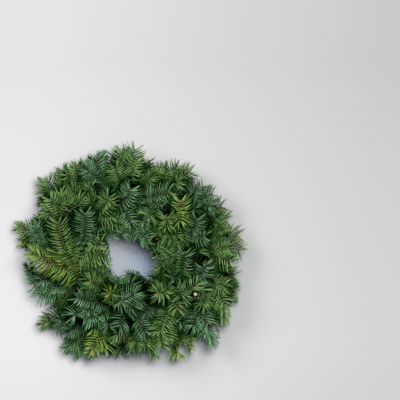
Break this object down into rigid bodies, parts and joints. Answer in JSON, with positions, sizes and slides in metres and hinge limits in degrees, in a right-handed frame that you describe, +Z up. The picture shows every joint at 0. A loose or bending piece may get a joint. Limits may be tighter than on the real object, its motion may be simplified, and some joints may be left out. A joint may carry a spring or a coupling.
{
  "type": "fresh evergreen wreath",
  "caption": "Round wreath of fresh fir sprays bound with wire to a straw ring, open in the middle, lying flat on its ring.",
  "frame": {"origin": "middle of the bounding box's underside, on the surface that the wreath lies on", "axes": "+Z up, away from the surface; +X to the right and +Y to the top of the picture"},
  "size_m": [0.4124, 0.3964, 0.1224],
  "materials": {
    "straw": "straw wound round with dark green floral tape",
    "wire": "green lacquered florist's wire",
    "needles_teal": "waxy fresh fir needles, blue green",
    "needles_green": "waxy fresh fir needles, mid green",
    "needles_dark": "waxy fresh fir needles, dark green",
    "needles_yellow": "waxy fresh fir needles, yellow green",
    "needles_olive": "waxy fresh fir needles, olive green"
  },
  "bodies": {
    "root": {"binding_wire": "wire", "spray_inner_01": "needles_green", "spray_inner_02": "needles_dark", "spray_inner_03": "needles_teal", "spray_inner_04": "needles_olive", "spray_inner_05": "needles_green", "spray_inner_06": "needles_dark", "spray_inner_07": "needles_teal", "spray_inner_08": "needles_green", "spray_inner_09": "needles_green", "spray_inner_10": "needles_green", "spray_middle_01": "needles_teal", "spray_middle_02": "needles_olive", "spray_middle_03": "needles_green", "spray_middle_04": "needles_dark", "spray_middle_05": "needles_green", "spray_middle_06": "needles_teal", "spray_middle_07": "needles_dark", "spray_middle_08": "needles_yellow", "spray_middle_09": "needles_olive", "spray_middle_10": "needles_dark", "spray_middle_11": "needles_dark", "spray_middle_12": "needles_teal", "spray_middle_13": "needles_green", "spray_middle_14": "needles_green", "spray_middle_15": "needles_teal", "spray_middle_16": "needles_teal", "spray_middle_17": "needles_yellow", "spray_middle_18": "needles_teal", "spray_middle_19": "needles_green", "spray_middle_20": "needles_teal", "spray_outer_01": "needles_olive", "spray_outer_02": "needles_green", "spray_outer_03": "needles_olive", "spray_outer_04": "needles_green", "spray_outer_05": "needles_teal", "spray_outer_06": "needles_teal", "spray_outer_07": "needles_green", "spray_outer_08": "needles_olive", "spray_outer_09": "needles_green", "spray_outer_10": "needles_teal", "spray_outer_11": "needles_green", "spray_outer_12": "needles_olive", "spray_outer_13": "needles_green", "spray_outer_14": "needles_green", "spray_outer_15": "needles_green", "spray_outer_16": "needles_olive", "spray_outer_17": "needles_green", "spray_outer_18": "needles_teal", "spray_outer_19": "needles_olive", "spray_outer_20": "needles_yellow", "spray_outer_21": "needles_green", "spray_outer_22": "needles_green", "spray_outer_23": "needles_dark", "spray_outer_24": "needles_yellow", "spray_outer_25": "needles_dark", "spray_outer_26": "needles_olive", "spray_outer_27": "needles_teal", "spray_outer_28": "needles_yellow", "straw_ring": "straw"}
  },
  "joints": []
}
